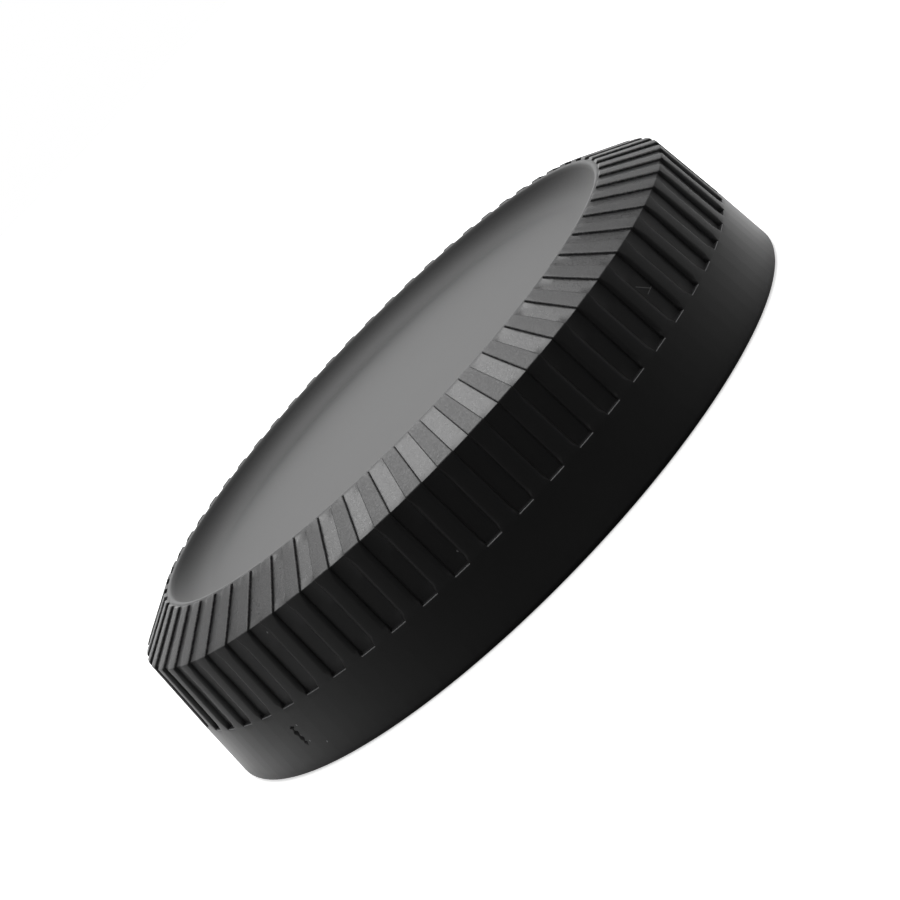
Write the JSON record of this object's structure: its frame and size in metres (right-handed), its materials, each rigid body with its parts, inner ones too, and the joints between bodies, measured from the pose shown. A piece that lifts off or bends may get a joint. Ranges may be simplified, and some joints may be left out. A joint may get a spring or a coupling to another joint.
{
  "type": "rear lens cap",
  "caption": "Round moulded cap that twists onto the back of a camera lens, with a ribbed grip, a dished face and bayonet tabs inside.",
  "frame": {"origin": "centre of the open rim, in the plane that the cap rests on", "axes": "+Z along the cap's axis, from the open rim towards the closed face; the web at +X marks the turn of the three tabs"},
  "size_m": [0.0602, 0.0602, 0.0141],
  "materials": {
    "black_plastic": "fine spark-eroded matt with a satin face"
  },
  "bodies": {
    "root": {"rear_cap": "black_plastic"}
  },
  "joints": []
}
